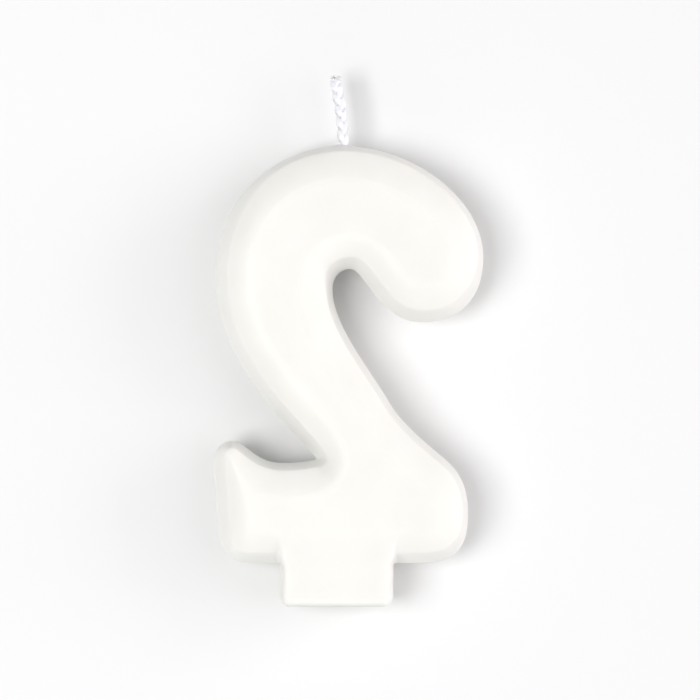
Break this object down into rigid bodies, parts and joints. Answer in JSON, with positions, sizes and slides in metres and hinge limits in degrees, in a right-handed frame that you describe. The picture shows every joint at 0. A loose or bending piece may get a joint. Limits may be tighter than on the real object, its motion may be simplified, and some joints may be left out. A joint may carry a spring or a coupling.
{
  "type": "number birthday candle",
  "caption": "Birthday candle in the shape of the figure two: a bevelled wax casting with a flat stub that pushes into a cake and a short plaited wick at the top.",
  "frame": {"origin": "middle of the stub's flat end face, halfway through the candle's thickness", "axes": "the candle lies on its back: +Z out of its front face, +Y up the figure towards the wick, +X to the right seen from the front"},
  "size_m": [0.0438, 0.0867, 0.013],
  "materials": {
    "wax": "satin white paraffin wax",
    "cotton_yarn": "white cotton yarn primed with wax"
  },
  "bodies": {
    "root": {"wax_numeral": "wax", "wick_strand_1": "cotton_yarn", "wick_strand_2": "cotton_yarn", "wick_strand_3": "cotton_yarn"}
  },
  "joints": []
}
